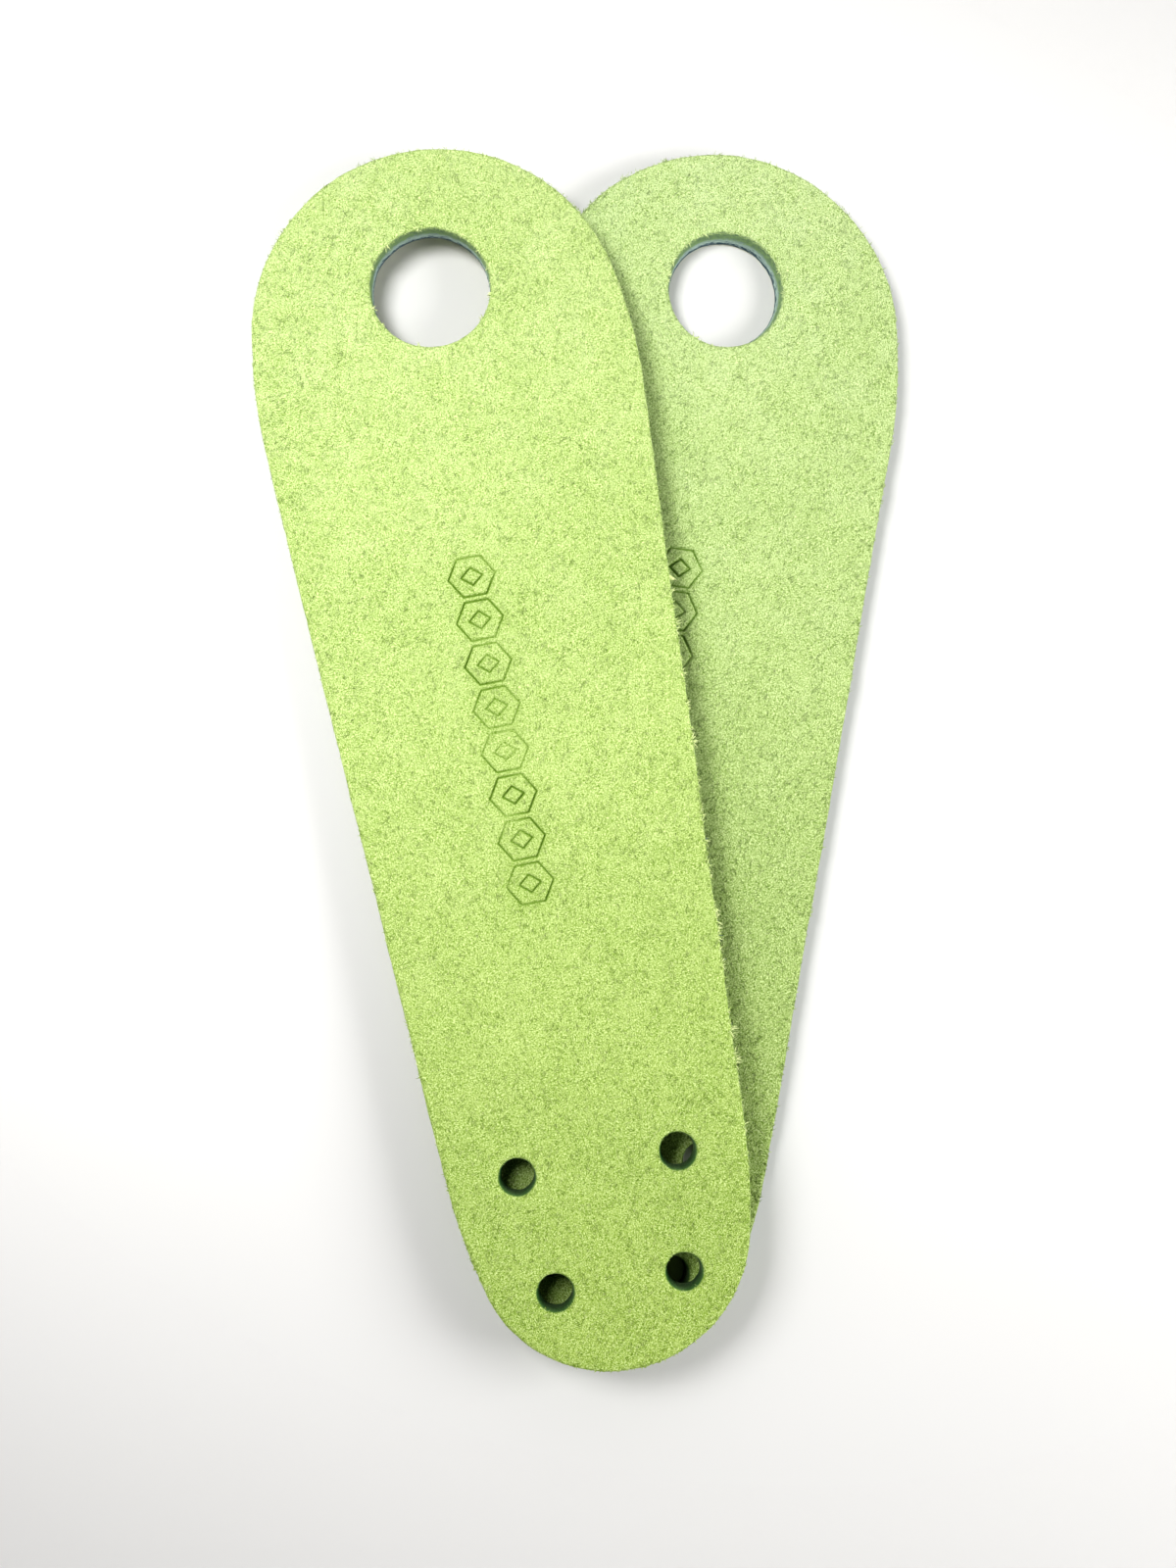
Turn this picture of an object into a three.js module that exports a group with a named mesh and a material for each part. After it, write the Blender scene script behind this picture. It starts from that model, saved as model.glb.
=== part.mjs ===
// A pair of die-cut suede toe guards for roller skates, lying loose on a table.
// The lower guard lies flat, and the upper one lies across it, leaning over the lower one's
// left side until its own wide end almost touches the table.
// Millimetres, +Z up, the narrow ends towards -Y.
import * as THREE from 'three';

// One guard, in its own frame: the crown's centre is the origin and the tip lies along -Y.
const guardLength = 165;
const crownRadius = 25.2;
const tipRadius = 18.2;
const sideAtCrown = 26.5;
const sideAtTip = 19.3;
const shoulderRadius = 75;
const thickness = 3.6;

// The toe-stop stem's hole near the crown, and the four lace holes near the tip.
const stemHoleRadius = 8.15;
const stemHoleFromEdge = 19.1;
const laceHoleRadius = 2.45;
const laceRowFromCrown = 112.9;
const laceRowSpacing = 15.5;
const laceUpperGauge = 21.3;
const laceLowerGauge = 17;
const laceTurn = THREE.MathUtils.degToRad(1.8);

// How the pair lies.
const lowerTurn = THREE.MathUtils.degToRad(-7);
const upperTurn = THREE.MathUtils.degToRad(14.5);
const upperLean = THREE.MathUtils.degToRad(5.3);
const upperCrownFromSide = -12;
const upperCrownAlongSide = -4.6;
const restingGap = 0.3;

const arcSteps = 16;

const tipY = crownRadius + tipRadius - guardLength;
const taper = Math.asin((sideAtTip - sideAtCrown) / tipY);

// The angle between a straight side's normal and the point where its shoulder meets a round end.
function shoulderSweep(sideDistance, endRadius) {
  return Math.acos((shoulderRadius - sideDistance) / (shoulderRadius - endRadius));
}

// An arc that runs anticlockwise, as the outline does.
function addArc(path, centre, radius, from, to) {
  path.absarc(centre.x, centre.y, radius, from, to, false);
}

function circleHole(x, y, radius) {
  const hole = new THREE.Path();
  hole.absarc(x, y, radius, 0, 2 * Math.PI, true);
  return hole;
}

// A paddle: two round ends joined by straight tapering sides, with wide arcs blending them.
function guardOutline() {
  const crownSweep = shoulderSweep(sideAtCrown, crownRadius);
  const tipSweep = shoulderSweep(sideAtTip, tipRadius);
  const crownMeet = crownSweep - taper;
  const tipMeet = -taper - tipSweep;
  const crownOffset = shoulderRadius - crownRadius;
  const tipOffset = shoulderRadius - tipRadius;
  const tip = new THREE.Vector2(0, tipY);
  const rightShoulder = new THREE.Vector2(-crownOffset, 0).rotateAround(new THREE.Vector2(), crownMeet);
  const rightHip = new THREE.Vector2(-tipOffset, tipY).rotateAround(tip, tipMeet);
  const leftShoulder = new THREE.Vector2(-rightShoulder.x, rightShoulder.y);
  const leftHip = new THREE.Vector2(-rightHip.x, rightHip.y);

  const outline = new THREE.Shape();
  addArc(outline, new THREE.Vector2(), crownRadius, crownMeet, Math.PI - crownMeet);
  addArc(outline, leftShoulder, shoulderRadius, Math.PI - crownMeet, Math.PI + taper);
  addArc(outline, leftHip, shoulderRadius, Math.PI + taper, Math.PI - tipMeet);
  addArc(outline, tip, tipRadius, Math.PI - tipMeet, 2 * Math.PI + tipMeet);
  addArc(outline, rightHip, shoulderRadius, tipMeet, -taper);
  addArc(outline, rightShoulder, shoulderRadius, -taper, crownMeet);
  return outline;
}

// The four lace holes stand in a trapezoid of two rows, each turned a little about its own middle.
function laceHoles() {
  const rows = [[laceUpperGauge, laceRowFromCrown], [laceLowerGauge, laceRowFromCrown + laceRowSpacing]];
  return rows.flatMap(([gauge, drop]) => [-gauge / 2, gauge / 2].map((x) => {
    const rowMiddle = new THREE.Vector2(0, -drop);
    const centre = new THREE.Vector2(x, -drop).rotateAround(rowMiddle, -laceTurn);
    return circleHole(centre.x, centre.y, laceHoleRadius);
  }));
}

function guardGeometry() {
  const outline = guardOutline();
  outline.holes.push(circleHole(0, crownRadius - stemHoleFromEdge, stemHoleRadius));
  outline.holes.push(...laceHoles());
  return new THREE.ExtrudeGeometry(outline, {
    depth: thickness,
    bevelEnabled: false,
    curveSegments: arcSteps,
  });
}

function suede(name, colour) {
  return new THREE.MeshStandardMaterial({ name, color: colour, roughness: 0.95, metalness: 0 });
}

function guard(name, colour) {
  const mesh = new THREE.Mesh(guardGeometry(), suede(name, colour));
  mesh.name = name;
  return mesh;
}

// The upper guard, in a frame whose Y axis runs along the lower guard's left side.
function leaningGuard() {
  const upper = guard('upper_toe_guard', '#c2df7c');
  upper.position.set(upperCrownFromSide, upperCrownAlongSide, 0);
  upper.rotation.z = upperTurn;
  const lean = new THREE.Group();
  lean.rotation.y = -upperLean;
  lean.add(upper);
  const side = new THREE.Group();
  side.position.set(-sideAtCrown * Math.cos(taper), -sideAtCrown * Math.sin(taper), thickness + restingGap);
  side.rotation.z = taper;
  side.add(lean);
  return side;
}

const pair = new THREE.Group();
pair.add(guard('lower_toe_guard', '#bcdc84'), leaningGuard());
pair.rotation.z = lowerTurn;

// The row's origin is on the table, under the middle of the pair.
const toeGuards = new THREE.Group();
toeGuards.add(pair);
toeGuards.updateMatrixWorld(true);
const middle = new THREE.Box3().setFromObject(toeGuards, true).getCenter(new THREE.Vector3());
pair.position.set(-middle.x, -middle.y, 0);

export default toeGuards;
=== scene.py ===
import math

import bpy
import numpy as np
from mathutils import Matrix, Vector, noise
from mathutils.geometry import delaunay_2d_cdt


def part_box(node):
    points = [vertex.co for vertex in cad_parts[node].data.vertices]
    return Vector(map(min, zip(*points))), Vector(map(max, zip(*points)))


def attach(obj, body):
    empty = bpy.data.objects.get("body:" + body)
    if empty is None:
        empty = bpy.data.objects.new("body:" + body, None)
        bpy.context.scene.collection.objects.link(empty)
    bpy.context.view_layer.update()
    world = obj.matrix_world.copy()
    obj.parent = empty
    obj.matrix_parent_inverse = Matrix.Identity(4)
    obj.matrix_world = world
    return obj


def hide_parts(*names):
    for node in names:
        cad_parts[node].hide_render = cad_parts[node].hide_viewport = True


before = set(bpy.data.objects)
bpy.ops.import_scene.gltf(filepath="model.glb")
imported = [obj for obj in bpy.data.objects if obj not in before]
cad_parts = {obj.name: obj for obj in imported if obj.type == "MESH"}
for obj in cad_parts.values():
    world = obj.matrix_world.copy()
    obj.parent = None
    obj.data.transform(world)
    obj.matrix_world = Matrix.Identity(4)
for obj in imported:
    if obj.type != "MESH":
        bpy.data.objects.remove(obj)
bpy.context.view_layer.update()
MM = 0.001

# ---------------------------------------------------------------- driving dimensions, as in the CAD
LENGTH = 165.0
CROWN_RADIUS = 25.2
TIP_RADIUS = 18.2
SIDE_AT_CROWN = 26.5
SIDE_AT_TIP = 19.3
SHOULDER_RADIUS = 75.0
THICKNESS = 3.6
STEM_HOLE_RADIUS = 8.15
STEM_HOLE_FROM_EDGE = 19.1
LACE_HOLE_RADIUS = 2.45
LACE_ROW_FROM_CROWN = 112.9
LACE_ROW_SPACING = 15.5
LACE_UPPER_GAUGE = 21.3
LACE_LOWER_GAUGE = 17.0
LACE_TURN = math.radians(1.8)
LOWER_TURN = math.radians(-7)
UPPER_TURN = math.radians(14.5)
UPPER_LEAN = math.radians(5.3)

TIP_Y = CROWN_RADIUS + TIP_RADIUS - LENGTH
TAPER = math.asin((SIDE_AT_TIP - SIDE_AT_CROWN) / TIP_Y)

# ---------------------------------------------------------------- mesh detail
RIM_STEP = 0.42  # spacing of points round the outline
HOLE_STEP = 0.3
TOP_STEP = 0.58  # spacing of points over the nap
UNDER_STEP = 1.15
MOTIF_STEP = 0.13  # spacing of points beside the pressed lines
RIM_ROUND = 0.5  # how far the cut edges are rounded over
RIM_INSET = 1.5  # where the rim's rings hand over to the flat faces
RIM_GAP = 0.28  # how near the rim's rings the closely spaced points come
LACE_HOLE_FLARE = 0.33  # how much smaller a punched hole's radius is at the underside
LOWER_STEM_FLARE, UPPER_STEM_FLARE = 0.7, 0.25  # the same for each guard's stem hole
LACE_SHADE_REACH = 0.35  # how far out from its edge a lace hole's darkening reaches, partly painted shade

# ---------------------------------------------------------------- the pressed motif
MOTIF_CENTRE = (-1.8, -54.4)
MOTIF_COUNT = 8
MOTIF_PITCH = 5.95
HEXAGON_HALF_WIDTH = 3.15
HEXAGON_HALF_LENGTH = 2.6
LOZENGE_SHARE = 0.46
GROOVE_DEPTH = 0.4
GROOVE_HALF_WIDTH = 0.14
MOTIF_REACH = (6, 28)  # nothing further than this from the motif's centre is near a groove
FINE_REACH = 0.6  # how far from a groove the closely spaced points go
PRESSED_SINK = 0.05  # how far the nap beside a groove is pressed down
PRESSED_FROM, PRESSED_WIDTH = 0.2, 0.8  # where beside a groove that fades out

# ---------------------------------------------------------------- unevenness
# Layers of waves, each with its height and the size of its features.
EDGE_RAGGED = ((0.16, 14), (0.05, 1.7))
HOLE_RAGGED = ((0.07, 3), (0.04, 0.9))
NAP_SWELL = ((0.05, 1.1), (0.05, 3.2), (0.05, 11))
UNDER_SHARE = 0.6  # how uneven the underside is beside the nap
UNDER_LIFT = 0.15  # keeps the underside's hollows and humps above the flat

# ---------------------------------------------------------------- loose fibres
NAP_CLUMPS = 15000
FIBRES_IN_CLUMP = 3
FRINGE_PER_MM = 3.0
NAP_LEAN = 1.3  # the way that the nap leans on the whole, as an angle from +X
NAP_SWIRL = ((1.4, 13), (1.2, 2.5))  # layers of waves that turn it from place to place
SHAGGY_FROM, SHAGGY_TO = -112, -38  # along the guard, where the upper one's right edge is frayed
TUFTS_ON_EDGE = 64
TUFTS_ROUND_HOLE = 16
FIBRES_IN_TUFT = 5


def wave(points, size, seed):
    """Smooth noise from -1 to 1 at each point, with features about as large as size."""
    shift = Vector((17.3 * seed, -9.1 * seed, 5.7 * seed))
    padded = np.zeros((len(points), 3))
    padded[:, : points.shape[1]] = points
    return np.array([noise.noise(Vector(p) / size + shift) for p in padded])


def swell(points, layers, seed, seed_step=1):
    """Several layers of waves added up."""
    return sum(
        height * wave(points, size, seed + i * seed_step)
        for i, (height, size) in enumerate(layers)
    )


# ---------------------------------------------------------------- plan of one guard
def arc(centre, radius, start, end, step):
    count = max(3, math.ceil(radius * abs(end - start) / step))
    angle = np.linspace(start, end, count, endpoint=False)
    return np.c_[centre[0] + radius * np.cos(angle), centre[1] + radius * np.sin(angle)]


def line(start, end, step):
    count = max(1, math.ceil(np.linalg.norm(np.subtract(end, start)) / step))
    share = np.linspace(0, 1, count, endpoint=False)[:, None]
    return np.asarray(start) * (1 - share) + np.asarray(end) * share


def outline(step):
    """The paddle's outline, anticlockwise, with points about step apart."""
    crown_sweep = math.acos(
        (SHOULDER_RADIUS - SIDE_AT_CROWN) / (SHOULDER_RADIUS - CROWN_RADIUS)
    )
    tip_sweep = math.acos((SHOULDER_RADIUS - SIDE_AT_TIP) / (SHOULDER_RADIUS - TIP_RADIUS))
    crown_meet, tip_meet = crown_sweep - TAPER, -TAPER - tip_sweep
    crown_offset, tip_offset = SHOULDER_RADIUS - CROWN_RADIUS, SHOULDER_RADIUS - TIP_RADIUS
    shoulder = (-crown_offset * math.cos(crown_meet), -crown_offset * math.sin(crown_meet))
    hip = (-tip_offset * math.cos(tip_meet), TIP_Y - tip_offset * math.sin(tip_meet))
    normal = np.array([math.cos(TAPER), -math.sin(TAPER)])
    upper_end = np.array(shoulder) + SHOULDER_RADIUS * normal
    lower_end = np.array(hip) + SHOULDER_RADIUS * normal
    right = [
        line(lower_end, upper_end, step),
        arc(shoulder, SHOULDER_RADIUS, -TAPER, crown_meet, step),
        arc((0, 0), CROWN_RADIUS, crown_meet, math.pi / 2, step),
    ]
    right = np.vstack([*right, [[0, CROWN_RADIUS]]])
    lower = [
        arc((0, TIP_Y), TIP_RADIUS, -math.pi / 2, tip_meet, step),
        arc(hip, SHOULDER_RADIUS, tip_meet, -TAPER, step),
    ]
    half = np.vstack([*lower, right])
    return np.vstack([half, half[-2:0:-1] * [-1, 1]])


def outward(loop):
    """The unit normal at each point of an anticlockwise loop."""
    along = np.roll(loop, -1, 0) - np.roll(loop, 1, 0)
    normal = np.c_[along[:, 1], -along[:, 0]]
    return normal / np.linalg.norm(normal, axis=1)[:, None]


def holes():
    """Each hole's centre and radius: the stem hole first, then the lace holes."""
    found = [((0.0, CROWN_RADIUS - STEM_HOLE_FROM_EDGE), STEM_HOLE_RADIUS)]
    rows = [
        (LACE_UPPER_GAUGE / 2, LACE_ROW_FROM_CROWN),
        (LACE_LOWER_GAUGE / 2, LACE_ROW_FROM_CROWN + LACE_ROW_SPACING),
    ]
    for half, drop in rows:
        for side in (-half, half):
            centre = (side * math.cos(LACE_TURN), -drop - side * math.sin(LACE_TURN))
            found.append((centre, LACE_HOLE_RADIUS))
    return found


def inside(points, loop):
    """Whether each point is inside a closed loop."""
    a, b = loop, np.roll(loop, -1, 0)
    found = np.zeros(len(points), bool)
    for (ax, ay), (bx, by) in zip(a, b):
        if ay == by:
            continue
        crosses = (ay > points[:, 1]) != (by > points[:, 1])
        at = ax + (points[:, 1] - ay) * (bx - ax) / (by - ay)
        found ^= crosses & (points[:, 0] < at)
    return found


# ---------------------------------------------------------------- the pressed motif's lines
def motif_lines():
    """The ends of every straight groove: a row of hexagons, each with a lozenge in its middle."""
    starts, ends = [], []
    middle = (MOTIF_COUNT - 1) / 2
    for i in range(MOTIF_COUNT):
        centre = np.array(MOTIF_CENTRE) + [0, (i - middle) * MOTIF_PITCH]
        w, h = HEXAGON_HALF_WIDTH, HEXAGON_HALF_LENGTH
        hexagon = np.array([[-w, 0], [-w / 2, -h], [w / 2, -h], [w, 0], [w / 2, h], [-w / 2, h]])
        lozenge = np.array([[-w, 0], [0, -h], [w, 0], [0, h]]) * LOZENGE_SHARE
        for shape in (hexagon, lozenge):
            starts.append(centre + shape)
            ends.append(centre + np.roll(shape, -1, 0))
    return np.vstack(starts), np.vstack(ends)


def motif_distance(points):
    """How far each point is from the nearest groove."""
    best = np.full(len(points), np.inf)
    for a, b in zip(*motif_lines()):
        along = b - a
        share = np.clip((points - a) @ along / (along @ along), 0, 1)
        best = np.minimum(best, np.linalg.norm(points - a - share[:, None] * along, axis=1))
    return best


# ---------------------------------------------------------------- one guard's body
def rim_profile():
    """The edge's cross-section, from the top face to the underside: inset, z and wall share."""
    quarter = np.linspace(0, math.pi / 2, 6)
    top = [(RIM_INSET, THICKNESS, 0), (1.0, THICKNESS, 0)]
    over, under = [], []
    for t in quarter:
        most, least = RIM_ROUND * (1 - math.sin(t)), RIM_ROUND * (1 - math.cos(t))
        share = t / (math.pi / 2)
        over.append((most, THICKNESS - least, share))
        under.append((least, most, 1 - share))
    wall = [(0, z, 1) for z in np.linspace(THICKNESS - RIM_ROUND, RIM_ROUND, 8)[1:-1]]
    return np.array([*top, *over, *wall, *under, (1.0, 0, 0), (RIM_INSET, 0, 0)])


def grid(low, high, step):
    """A hexagonal grid of points over a box."""
    rows = np.arange(low[1], high[1], step * math.sqrt(3) / 2)
    columns = np.arange(low[0], high[0], step)
    x, y = np.meshgrid(columns, rows)
    x = x + (np.arange(len(rows)) % 2)[:, None] * step / 2
    return np.c_[x.ravel(), y.ravel()]


def away_from(points, loops, gap):
    """Keeps the points that are further than gap from every point of the loops."""
    keep = np.ones(len(points), bool)
    for loop in loops:
        low, high = loop.min(0) - gap, loop.max(0) + gap
        near = np.where(((points > low) & (points < high)).all(1))[0]
        for part in np.array_split(near, max(1, len(near) // 4000)):
            far = np.linalg.norm(points[part, None] - loop[None], axis=2).min(1) > gap
            keep[part] &= far
    return points[keep]


def face_points(loops, step, motif):
    """Points inside the first loop and outside the others, closer together beside the grooves."""
    low, high = loops[0].min(0), loops[0].max(0)
    points = grid(low, high, step)
    if motif:
        start, end = motif_lines()
        ends = np.vstack([start, end])
        fine = grid(ends.min(0) - 1, ends.max(0) + 1, MOTIF_STEP)
        fine = fine[motif_distance(fine) < FINE_REACH]
        points = np.vstack([points[motif_distance(points) > FINE_REACH + step / 3], fine])
    points = points[inside(points, loops[0])]
    for loop in loops[1:]:
        points = points[~inside(points, loop)]
    return away_from(points, loops, RIM_GAP if motif else 0.45 * step)


def fill(loops, points, first, flip):
    """Triangles over the face between the loops. The loops' indices are given; points come next."""
    corners = np.vstack([*loops, points])
    edges, start = [], 0
    for loop in loops:
        n = len(loop)
        edges += [(start + i, start + (i + 1) % n) for i in range(n)]
        start += n
    made = delaunay_2d_cdt([Vector(p) for p in corners], edges, [], 0, 1e-7)
    source = [old[0] for old in made[3]]
    triangles = np.array([[source[v] for v in face] for face in made[2]])
    centres = corners[triangles].mean(1)
    keep = inside(centres, loops[0])
    for loop in loops[1:]:
        keep &= ~inside(centres, loop)
    triangles = first[triangles[keep]]
    return triangles[:, ::-1] if flip else triangles


def guard_shape(seed, stem_hole_flare):
    """Points, faces and the painted wall share of one guard, in its own frame."""
    profile = rim_profile()
    rings = len(profile)
    points, faces, wall = [], [], []
    top_loops, under_loops, top_ids, under_ids = [], [], [], []
    count = 0
    border = outline(RIM_STEP)
    loops = [(border, outward(border))]
    for centre, radius in holes():
        loop = arc(centre, radius, 2 * math.pi, 0, HOLE_STEP)
        loops.append((loop, -(loop - centre) / radius))
    for k, (loop, normal) in enumerate(loops):
        n = len(loop)
        ragged = swell(loop, HOLE_RAGGED if k else EDGE_RAGGED, seed, 3)
        flare = (0, stem_hole_flare, *4 * [LACE_HOLE_FLARE])[k]
        for inset, z, share in profile:
            ring = loop + normal * (ragged - inset + flare * (1 - z / THICKNESS))[:, None]
            level = np.c_[ring, np.full(n, z)]
            rough = 0.05 * wave(level * [1, 1, 2.5], 0.8, seed + 5)
            rough += 0.06 * wave(level, 3.5, seed + 6)
            level[:, :2] += normal * (rough * share)[:, None]
            points.append(level)
            wall.append(np.full(n, share))
        index = count + np.arange(rings * n).reshape(rings, n)
        a, b = index[:-1], index[1:]
        nearer, further = np.roll(a, -1, 1), np.roll(b, -1, 1)
        faces.append(np.stack([a, b, further, nearer], -1).reshape(-1, 4))
        top_loops.append(points[-rings][:, :2])
        under_loops.append(points[-1][:, :2])
        top_ids.append(index[0])
        under_ids.append(index[-1])
        count += rings * n
    top = face_points(top_loops, TOP_STEP, True)
    under = face_points(under_loops, UNDER_STEP, False)
    points += [np.c_[top, np.full(len(top), THICKNESS)], np.c_[under, np.zeros(len(under))]]
    wall += [np.zeros(len(top)), np.zeros(len(under))]
    top_first = np.concatenate([*top_ids, count + np.arange(len(top))])
    under_first = np.concatenate([*under_ids, count + len(top) + np.arange(len(under))])
    faces.append(fill(top_loops, top, top_first, False))
    faces.append(fill(under_loops, under, under_first, True))
    return np.vstack(points), faces, np.concatenate(wall)


def relief(points, seed):
    """How far each point stands above the flat, and how much it lies in or near a groove."""
    upper = np.clip((points[:, 2] - THICKNESS + RIM_ROUND) / RIM_ROUND, 0, 1)
    lower = np.clip(1 - points[:, 2] / RIM_ROUND, 0, 1)
    distance = np.full(len(points), np.inf)
    near = (upper > 0.5) & (np.abs(points[:, :2] - MOTIF_CENTRE) < MOTIF_REACH).all(1)
    distance[near] = motif_distance(points[near, :2])
    groove = np.exp(-((distance / GROOVE_HALF_WIDTH) ** 2))
    pressed = np.exp(-((np.maximum(distance - PRESSED_FROM, 0) / PRESSED_WIDTH) ** 2))
    uneven = 0.8 + 0.6 * wave(points[:, :2], 5, seed + 11)
    nap = swell(points, NAP_SWELL, seed + 21)
    up = upper * (nap - uneven * (GROOVE_DEPTH * groove + PRESSED_SINK * pressed))
    down = lower * UNDER_SHARE * (nap - UNDER_LIFT)
    return up - down, groove * uneven, pressed


# ---------------------------------------------------------------- fibres that stand out of it
def fibre_mesh(roots, along, side, length, width, bends):
    """Closed slivers that taper from a three-cornered root to a point. All are in millimetres."""
    up = np.cross(along, side)
    corners = []
    for share in (0, 0.45) if bends else (0,):
        middle = roots + along * length * share + up * width * 0.5 * share
        girth = width * (1 - 0.25 * share)
        corners += [middle - side * girth / 2, middle + side * girth / 2, middle + up * girth * 0.7]
    corners.append(roots + along * length)
    points = np.stack(corners, 1).reshape(-1, 3)
    base = len(corners) * np.arange(len(roots))[:, None]
    last = len(corners) - 4
    tip = last + 3
    shapes = [(0, 2, 1), (last, last + 1, tip), (last + 1, last + 2, tip), (last + 2, last, tip)]
    if bends:
        shapes += [(0, 1, 4, 3), (1, 2, 5, 4), (2, 0, 3, 5)]
    return points, [base + np.array(shape) for shape in shapes]


def unit(vectors):
    return vectors / np.linalg.norm(vectors, axis=1)[:, None]


def nap_fibres(seed):
    """Short fibres lying over the top face, in clumps that all lean one way."""
    draw = np.random.default_rng(seed)
    low, high = outline(2.0).min(0), outline(2.0).max(0)
    centres = draw.uniform(low, high, (3 * NAP_CLUMPS, 2))
    centres = centres[inside(centres, outline(1.0))][:NAP_CLUMPS]
    turn = NAP_LEAN + swell(centres, NAP_SWIRL, seed + 31)
    turn += draw.normal(0, 0.45, len(centres))
    spots = np.repeat(centres, FIBRES_IN_CLUMP, 0)
    spots += draw.normal(0, 0.15, spots.shape)
    turn = np.repeat(turn, FIBRES_IN_CLUMP) + draw.normal(0, 0.28, len(spots))
    keep = inside(spots, outline(0.6)) & (motif_distance(spots) > 0.45)
    for centre, radius in holes():
        keep &= np.linalg.norm(spots - centre, axis=1) > radius + 0.2
    spots, turn = spots[keep], turn[keep]
    roots = np.c_[spots, np.full(len(spots), THICKNESS)]
    roots[:, 2] += relief(roots, seed)[0] - 0.04
    rise = draw.uniform(0.1, 0.45, len(spots))
    along = unit(np.c_[np.cos(turn), np.sin(turn), rise])
    side = np.c_[-np.sin(turn), np.cos(turn), np.zeros(len(turn))]
    length = draw.uniform(0.25, 0.7, (len(spots), 1))
    width = draw.uniform(0.07, 0.13, (len(spots), 1))
    return roots, along, side, length, width, draw.uniform(0, 1, len(spots))


def fringe_roots(loop, outer, tufts, draw):
    """Which of the loop's points fibres grow from, and how shaggy each of the fibres is."""
    way_round = np.linalg.norm(loop - np.roll(loop, 1, 0), axis=1).sum()
    pick = draw.integers(0, len(loop), int(way_round * FRINGE_PER_MM))
    shaggy = np.zeros(len(pick))
    if not tufts:
        return pick, shaggy
    edge = np.arange(len(loop))
    if outer:
        frayed = (loop[:, 0] > 0) & (loop[:, 1] > SHAGGY_FROM) & (loop[:, 1] < SHAGGY_TO)
        edge = edge[frayed]
    bunch = np.repeat(draw.choice(edge, tufts), FIBRES_IN_TUFT)
    bunch += draw.integers(-1, 2, len(bunch))
    shaggier = np.repeat(draw.uniform(0.15, 1, tufts), FIBRES_IN_TUFT)
    return np.concatenate([pick, bunch % len(loop)]), np.concatenate([shaggy, shaggier])


def fringe_on(loop, outer, tufts, draw, seed):
    """Fibres along one cut edge, at all heights, most of them near the top."""
    pick, shaggy = fringe_roots(loop, outer, tufts, draw)
    count = len(pick)
    spots, normal = loop[pick], outward(loop)[pick]
    burst = 0.5 + 0.5 * wave(spots, 4.5, seed + 41)
    high = draw.uniform(0, 1, count) < 0.6 + 0.3 * shaggy
    near_top = THICKNESS - draw.uniform(0.05, 0.6, count)
    z = np.where(high, near_top, draw.uniform(0.2, 3.2, count))
    tangent = np.c_[-normal[:, 1], normal[:, 0]]
    sway = draw.normal(0, 1.3 - 0.4 * shaggy, count)[:, None]
    flat = unit(normal * (0.75 + 0.25 * shaggy[:, None]) + tangent * sway)
    rise = draw.normal(0.05, 0.25, count)
    along = unit(np.c_[flat, rise])
    side = unit(np.cross(np.c_[np.zeros((count, 2)), np.ones(count)], along))
    length = draw.uniform(0.2, 0.55, count) * (0.7 + 0.6 * burst)
    length += shaggy * draw.uniform(0.2, 1.0, count)
    length *= 1 if outer else 0.75
    width = draw.uniform(0.07, 0.13, count) * (1 + 0.9 * shaggy)
    over = np.clip((z - THICKNESS + RIM_ROUND) / RIM_ROUND, 0, 1)
    inset = 0.12 + RIM_ROUND * (1 - np.sqrt(1 - over**2))
    roots = np.c_[spots - normal * inset[:, None], z]
    shade = np.clip(draw.uniform(0.2, 0.9, count) + 0.7 * shaggy, 0, 1)
    return roots, along, side, length[:, None], width[:, None], shade


def fringe_fibres(seed, frayed):
    """Fibres that stand out of the outline and the holes, with paler tufts where one is frayed."""
    draw = np.random.default_rng(seed + 100)
    made = [fringe_on(outline(0.25), True, TUFTS_ON_EDGE if frayed else 0, draw, seed)]
    for centre, radius in holes():
        tufts = TUFTS_ROUND_HOLE if radius == STEM_HOLE_RADIUS else 0
        rim = arc(centre, radius, 2 * math.pi, 0, 0.2)
        made.append(fringe_on(rim, False, tufts, draw, seed))
    return [np.concatenate(column) for column in zip(*made)]


# ---------------------------------------------------------------- where each guard lies
def turned(points, turn):
    """Points from the guard's frame, turned as it lies, in metres."""
    return points @ np.array(turn.to_3x3()).T * MM


def shift_to(points, turn, node):
    """What moves the turned points to the middle of the CAD node's box."""
    low, high = (np.array(corner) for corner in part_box(node))
    laid = turned(points, turn)
    return (low + high) / 2 - (laid.min(0) + laid.max(0)) / 2


lower_turn = Matrix.Rotation(LOWER_TURN, 4, "Z")
upper_turn = (
    lower_turn
    @ Matrix.Rotation(TAPER, 4, "Z")
    @ Matrix.Rotation(-UPPER_LEAN, 4, "Y")
    @ Matrix.Rotation(UPPER_TURN, 4, "Z")
)


def new_mesh(name, points, faces):
    mesh = bpy.data.meshes.new(name)
    mesh.from_pydata(points.tolist(), [], [f for part in faces for f in part.tolist()])
    mesh.polygons.foreach_set("use_smooth", np.ones(len(mesh.polygons), bool))
    made = bpy.data.objects.new(name, mesh)
    bpy.context.scene.collection.objects.link(made)
    return made


def lace_share(points):
    """1 on the walls of the lace holes and 0 away from them."""
    share = np.zeros(len(points))
    for centre, radius in holes()[1:]:
        gap = np.linalg.norm(points[:, :2] - centre, axis=1) - radius
        share = np.maximum(share, np.clip((LACE_SHADE_REACH - gap) / 0.15, 0, 1))
    return share


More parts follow.
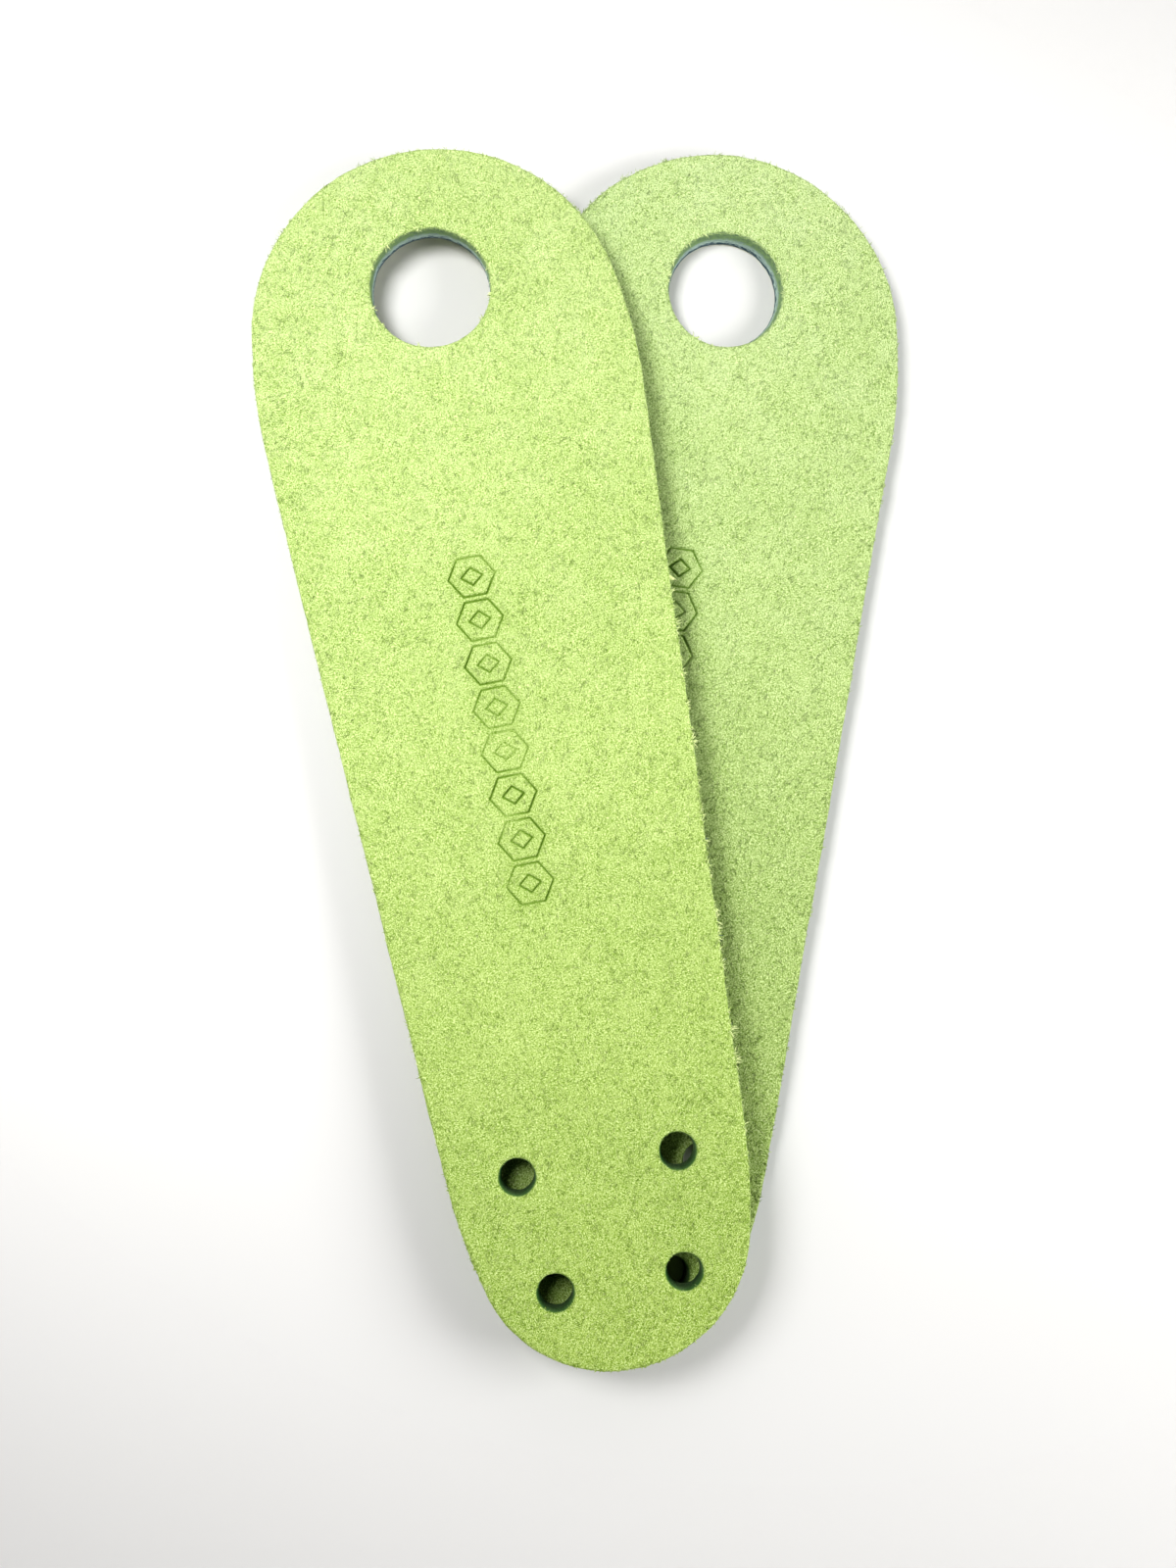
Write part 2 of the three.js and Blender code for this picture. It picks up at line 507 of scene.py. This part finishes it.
def paint(obj, name, values):
    """Stores a number or a vector at each point for the material to read."""
    kind = "FLOAT" if values.ndim == 1 else "FLOAT_VECTOR"
    layer = obj.data.attributes.new(name, kind, "POINT")
    key = "value" if values.ndim == 1 else "vector"
    layer.data.foreach_set(key, values.astype(np.float32).ravel())


def along_guard(points):
    """0 at the crown's end and 1 at the tip's."""
    return (CROWN_RADIUS - points[:, 1]) / LENGTH


def own_place(points, seed):
    """Where the materials read their patterns, far from where the other guard's do."""
    return points + [seed * 211.0, seed * 97.0, 0]


def make_guard(side, turn, material, stem_hole_flare, seed):
    """The leather of one guard, and how far its own frame was moved to lay it."""
    node, body, slot = f"{side}_toe_guard", f"{side}_guard", f"suede_{side}"
    plain, faces, wall = guard_shape(seed, stem_hole_flare)
    height, groove, pressed = relief(plain, seed)
    points = plain.copy()
    points[:, 2] += height
    shift = shift_to(plain, turn, node)
    guard = new_mesh(f"{side}_guard_suede", turned(points, turn) + shift, faces)
    paint(guard, "place", own_place(plain, seed))
    paint(guard, "depth", 1 - plain[:, 2] / THICKNESS)
    paint(guard, "along", along_guard(plain))
    paint(guard, "wall", wall)
    paint(guard, "lace", lace_share(plain))
    paint(guard, "groove", groove)
    paint(guard, "pressed", pressed)
    guard.data.materials.append(material)
    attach(guard, body)
    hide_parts(node)
    return shift


def make_fibres(name, body, turn, shift, material, fibres, bends, seed):
    """One mesh of many fibres, in the frame of the guard that they grow from."""
    roots, along, side, length, width, shade = fibres
    points, faces = fibre_mesh(roots, along, side, length, width, bends)
    made = new_mesh(name, turned(points, turn) + shift, faces)
    corners = len(points) // len(roots)
    paint(made, "place", own_place(np.repeat(roots, corners, 0), seed))
    paint(made, "depth", np.repeat(1 - roots[:, 2] / THICKNESS, corners))
    paint(made, "along", np.repeat(along_guard(roots), corners))
    paint(made, "wall", np.repeat((roots[:, 2] < THICKNESS - 0.6).astype(float), corners))
    paint(made, "lace", np.repeat(lace_share(roots), corners))
    paint(made, "shade", np.repeat(shade, corners))
    tip = [0, 0, 0, 0.45, 0.45, 0.45, 1.0] if bends else [0, 0, 0, 1.0]
    paint(made, "tip", np.tile(tip, len(roots)))
    made.data.materials.append(material)
    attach(made, body)


# ---------------------------------------------------------------- colours
# Each dye's dull, usual and bright tones, the shade between its fibres, and its painted shade at the
# tip: a darker tint for the light falling off there, and on the lower guard for the upper one's
# shadow too.
UPPER_DYE_AND_SHADE = (
    (0.405, 0.535, 0.17),
    (0.465, 0.595, 0.205),
    (0.68, 0.79, 0.38),
    (0.16, 0.265, 0.03),
    (0.8, 0.835, 0.5),
)
LOWER_DYE_AND_SHADE = (
    (0.45, 0.584, 0.211),
    (0.508, 0.642, 0.244),
    (0.69, 0.805, 0.42),
    (0.152, 0.255, 0.035),
    (0.52, 0.56, 0.3),
)
CROWN_PAINTED_LIGHT = (1.05, 1.0, 1.4)  # painted light: either dye's paler, bluer tint at the crown's end, where the light is strongest
CUT_GREEN = (0.21, 0.31, 0.15)  # the dyed top ply, where it is cut
CORE = (0.4, 0.5, 0.47)
CUT_DARK = (0.03, 0.06, 0.11)  # very dark blue, at the foot of each cut wall and in streaks across the cut
LACE_RIM, LACE_WALL = (0.06, 0.16, 0.04), (0.01, 0.06, 0.012)  # a lace hole's darker walls, partly their own colour and partly painted shade in the narrow hole
FRAYED = (0.82, 0.85, 0.5)
SHEEN = (0.85, 1.0, 0.6, 1)
PAPER = (0.7, 0.693, 0.681, 1)
FLECK_TURNS = (-1.2, -0.4, 0.35, 1.1)  # the ways that the short lying fibres point, as angles


# ---------------------------------------------------------------- materials
class Nodes:
    """A short way to write a material's nodes."""

    def __init__(self, name):
        self.material = bpy.data.materials.new(name)
        self.material.use_nodes = True
        self.tree = self.material.node_tree
        self.tree.nodes.clear()

    def add(self, kind, inputs=(), **settings):
        node = self.tree.nodes.new(kind)
        for key, value in settings.items():
            setattr(node, key, value)
        for key, value in dict(inputs).items():
            if isinstance(value, bpy.types.NodeSocket):
                self.tree.links.new(value, node.inputs[key])
            else:
                node.inputs[key].default_value = value
        return node

    def attribute(self, name, vector=False):
        node = self.add("ShaderNodeAttribute", attribute_name=name)
        return node.outputs["Vector" if vector else "Fac"]

    def math(self, operation, a, b):
        return self.add("ShaderNodeMath", {0: a, 1: b}, operation=operation).outputs[0]

    def span(self, value, low, high, to_low=0.0, to_high=1.0):
        """The value carried from the span low to high over to another one, and held at its ends."""
        inputs = {"Value": value, "From Min": low, "From Max": high}
        inputs |= {"To Min": to_low, "To Max": to_high}
        return self.add("ShaderNodeMapRange", inputs).outputs["Result"]

    def stretched(self, place, turn, size):
        """The place measured in a turned frame, in units of size along each of its axes."""
        inputs = {"Vector": place, "Rotation": (0, 0, turn), "Scale": size}
        return self.add("ShaderNodeMapping", inputs, vector_type="TEXTURE").outputs["Vector"]

    def noise(self, place, size, detail=2.0, rough=0.5, distort=0.0):
        inputs = {"Vector": place, "Scale": 1 / size, "Detail": detail, "Roughness": rough}
        inputs["Distortion"] = distort
        return self.add("ShaderNodeTexNoise", inputs).outputs["Fac"]

    def mix(self, share, a, b, blend="MIX"):
        """Colour a with a share of colour b."""
        node = self.add("ShaderNodeMix", data_type="RGBA", blend_type=blend)
        for socket, value in zip((node.inputs[0], node.inputs[6], node.inputs[7]), (share, a, b)):
            if isinstance(value, bpy.types.NodeSocket):
                self.tree.links.new(value, socket)
            else:
                socket.default_value = value if isinstance(value, float) else (*value, 1)
        return node.outputs[2]

    def mix_value(self, share, a, b):
        return self.add("ShaderNodeMix", {0: share, 2: a, 3: b}, data_type="FLOAT").outputs[0]

    def shaded(self, colour, roughness, normal):
        """Ends the material in a soft, nearly matt shader and returns it."""
        inputs = {
            "Base Color": colour,
            "Roughness": roughness,
            "Normal": normal,
            "Specular IOR Level": 0.18,
            "Sheen Weight": 0.2,
            "Sheen Roughness": 0.45,
            "Sheen Tint": SHEEN,
        }
        shader = self.add("ShaderNodeBsdfPrincipled", inputs)
        self.add("ShaderNodeOutputMaterial", {"Surface": shader.outputs[0]})
        return self.material


def flecks(n, place, width, length):
    """Noise drawn out along the nap's direction, which changes from place to place."""
    lay_of_nap = n.noise(place, 3.1, 2.0)
    for i, turn in enumerate(FLECK_TURNS):
        fleck = n.noise(n.stretched(place, turn, (width, length, width)), 1.0, 1.5, 0.55, 0.3)
        if i:
            low = 0.38 + 0.08 * (i - 1)
            fleck = n.mix_value(n.span(lay_of_nap, low, low + 0.05), drawn, fleck)
        drawn = fleck
    return drawn


def dye_with_painted_falloff(n, place, dull, lime, bright, tip_painted_shade):
    """The broad cloudy variation of the dyes, with painted light, paler and bluer, at the crown's
    end and painted shade darkening towards the tip.
    """
    cloud = n.noise(place, 24, 3.0, 0.55)
    patch = n.noise(place, 5.5, 4.0, 0.62, 0.6)
    colour = n.mix(n.span(cloud, 0.38, 0.62), dull, lime)
    colour = n.mix(n.span(patch, 0.42, 0.7, 0.0, 0.3), colour, bright)
    # painted light and shade: paler and bluer at the crown's end, darker towards the tip
    tint = n.mix(n.attribute("along"), CROWN_PAINTED_LIGHT, tip_painted_shade)
    return n.mix(1.0, colour, tint, "MULTIPLY")


def edge_colour_and_shade(n, place, colour):
    """On the cut walls the dyes stop part of the way down, above a bluish core and a very dark blue
    foot. A lace hole's walls are darker, partly their own colour and partly painted shade.
    """
    wall, depth = n.attribute("wall"), n.attribute("depth")
    ply = n.noise(n.stretched(place, 0.0, (0.7, 0.7, 0.2)), 1.0, 5.0, 0.75)
    uneven = n.math("ADD", depth, n.span(ply, 0.3, 0.7, -0.16, 0.16))
    cut = n.mix(n.span(uneven, 0.05, 0.22, 0.0, 0.95), colour, CUT_GREEN)
    cut = n.mix(n.span(uneven, 0.44, 0.6), cut, CORE)
    cut = n.mix(n.span(ply, 0.48, 0.6, 0.0, 0.5), cut, CUT_DARK)
    cut = n.mix(n.span(uneven, 0.72, 0.8, 0.0, 0.95), cut, CUT_DARK)
    # painted shade, partly the walls' own colour: a lace hole's walls darken towards its foot
    lace_wall_shade = n.mix(n.span(uneven, 0.1, 0.6), LACE_RIM, LACE_WALL)
    cut = n.mix(n.attribute("lace"), cut, lace_wall_shade)
    return n.mix(n.span(wall, 0.45, 0.85), colour, cut)


def suede(name, dull, lime, bright, dark, tip_painted_shade):
    """Napped leather in its dyes: cloudy colour with painted light and shade from crown to tip,
    short lying fibres with shade between, pressed lines.
    """
    n = Nodes(name)
    place = n.attribute("place", True)
    groove, pressed = n.attribute("groove"), n.attribute("pressed")
    colour = dye_with_painted_falloff(n, place, dull, lime, bright, tip_painted_shade)
    coarse = flecks(n, place, 0.12, 0.32)
    fine = flecks(n, place, 0.08, 0.2)
    grain = n.noise(place, 0.12, 1.0, 0.6)
    height = n.math("ADD", n.math("MULTIPLY", coarse, 0.45), n.math("MULTIPLY", fine, 0.3))
    height = n.math("ADD", height, n.math("MULTIPLY", grain, 0.25))
    colour = n.mix(n.span(grain, 0.52, 0.3, 0.0, 0.75), colour, dark)
    colour = n.mix(n.span(fine, 0.5, 0.36, 0.0, 0.65), colour, dark)
    colour = n.mix(n.span(coarse, 0.44, 0.35, 0.0, 0.9), colour, dark)
    colour = n.mix(n.span(height, 0.48, 0.58, 0.0, 0.95), colour, bright)
    colour = n.mix(n.span(pressed, 0.2, 1.0, 0.0, 0.12), colour, dark)
    colour = n.mix(n.span(groove, 0.15, 0.8, 0.0, 0.9), colour, dark)
    colour = edge_colour_and_shade(n, place, colour)
    bump = n.add("ShaderNodeBump", {"Height": height, "Strength": 0.6, "Distance": 0.0003})
    rough = n.span(height, 0.35, 0.65, 0.98, 0.86)
    return n.shaded(colour, rough, bump.outputs[0])


def loose_fibre(name, dull, lime, bright, dark, tip_painted_shade):
    """The same leather's loose fibres: a few are dark and some pale, with frayed ones palest."""
    n = Nodes(name)
    place = n.attribute("place", True)
    shade, tip = n.attribute("shade"), n.attribute("tip")
    colour = dye_with_painted_falloff(n, place, dull, lime, bright, tip_painted_shade)
    colour = n.mix(n.span(shade, 0.3, 0.0, 0.0, 0.55), colour, dark)
    colour = n.mix(n.span(shade, 0.55, 0.95, 0.0, 0.8), colour, bright)
    colour = n.mix(n.math("MULTIPLY", n.span(shade, 0.8, 1.0), tip), colour, FRAYED)
    colour = edge_colour_and_shade(n, place, colour)
    streak = n.noise(n.stretched(place, 0.0, (0.05, 0.05, 0.05)), 1.0, 1.0)
    bump = n.add("ShaderNodeBump", {"Height": streak, "Strength": 0.3, "Distance": 0.0001})
    return n.shaded(colour, n.span(tip, 0.0, 1.0, 0.95, 0.8), bump.outputs[0])


# ---------------------------------------------------------------- the pair
# Each guard's side, how it is turned, its dye with its painted shade, its stem hole's flare, and its
# seed.
GUARDS = (
    ("lower", lower_turn, LOWER_DYE_AND_SHADE, LOWER_STEM_FLARE, 2),
    ("upper", upper_turn, UPPER_DYE_AND_SHADE, UPPER_STEM_FLARE, 1),
)

shifts = {}
for side, turn, palette, stem_flare, seed in GUARDS:
    shifts[side] = make_guard(side, turn, suede(f"suede_{side}", *palette), stem_flare, seed)

for side, turn, palette, _, seed in GUARDS:
    fibre = loose_fibre(f"fibre_{side}", *palette)
    nap, fringe = nap_fibres(seed), fringe_fibres(seed, side == "upper")
    for kind, fibres, bends in (("nap", nap, False), ("fringe", fringe, True)):
        name, body, slot = f"{side}_guard_{kind}", f"{side}_guard", f"suede_{side}"
        make_fibres(name, body, turn, shifts[side], fibre, fibres, bends, seed)


# ---------------------------------------------------------------- floor, light and camera, in metres
def paper():
    bpy.ops.mesh.primitive_plane_add(size=6, location=(0, 0, 0))
    floor = bpy.context.object
    floor.name = "paper"
    n = Nodes("paper")
    inputs = {"Base Color": PAPER, "Roughness": 0.8, "Specular IOR Level": 0.1}
    shader = n.add("ShaderNodeBsdfPrincipled", inputs)
    n.add("ShaderNodeOutputMaterial", {"Surface": shader.outputs[0]})
    floor.data.materials.append(n.material)


def lamp(name, place, aim, size, spread, power):
    """A soft square lamp. A narrower spread lets its light fall off away from where it aims."""
    light = bpy.data.lights.new(name, "AREA")
    light.size = size
    light.spread = math.radians(spread)
    light.energy = power
    holder = bpy.data.objects.new(name, light)
    holder.location = place
    holder.rotation_euler = (Vector(aim) - Vector(place)).to_track_quat("-Z", "Y").to_euler()
    bpy.context.scene.collection.objects.link(holder)


def camera(aim, distance, lean_x, lean_y, focal_share):
    """Looks at a point on the table from almost straight above it, leaning towards -X and -Y."""
    level = math.cos(lean_y)
    back = Vector((-math.sin(lean_x) * level, -math.sin(lean_y), math.cos(lean_x) * level))
    right = Vector((0, 1, 0)).cross(back).normalized()
    up = back.cross(right)
    data = bpy.data.cameras.new("camera")
    data.sensor_fit = "VERTICAL"
    data.sensor_height = 24
    data.lens = focal_share * data.sensor_height
    data.clip_start = 0.01
    eye = bpy.data.objects.new("camera", data)
    turn = Matrix((right, up, back)).transposed().to_4x4()
    eye.matrix_world = Matrix.Translation(Vector(aim) + back * distance) @ turn
    bpy.context.scene.collection.objects.link(eye)
    bpy.context.scene.camera = eye


def room(low_light, high_light):
    """Light from all round, weaker from overhead, where whoever looks down stands in its way."""
    world = bpy.data.worlds.new("room")
    world.use_nodes = True
    nodes, links = world.node_tree.nodes, world.node_tree.links
    direction = nodes.new("ShaderNodeTexCoord").outputs["Generated"]
    split = nodes.new("ShaderNodeSeparateXYZ")
    strength = nodes.new("ShaderNodeMapRange")
    limits = {"From Min": 0.55, "From Max": 0.85, "To Min": low_light, "To Max": high_light}
    for key, value in limits.items():
        strength.inputs[key].default_value = value
    links.new(direction, split.inputs[0])
    links.new(split.outputs["Z"], strength.inputs["Value"])
    links.new(strength.outputs[0], nodes["Background"].inputs["Strength"])
    nodes["Background"].inputs["Color"].default_value = (1, 1, 1, 1)
    bpy.context.scene.world = world


paper()
lamp("key", place=(-0.165, 0.09, 0.285), aim=(-0.026, 0.028, 0), size=0.135, spread=67, power=0.138)
lamp("right_fill", place=(0.3, -0.04, 0.21), aim=(0, 0.01, 0), size=0.2, spread=180, power=0.72)
room(low_light=0.68, high_light=0.03)
bpy.context.scene.view_settings.view_transform = "Standard"
bpy.context.scene.view_settings.look = "High Contrast"
camera(
    aim=(0.00123, -0.00545, 0),
    distance=0.2283,
    lean_x=math.radians(6),
    lean_y=math.radians(3),
    focal_share=1.0575,
)
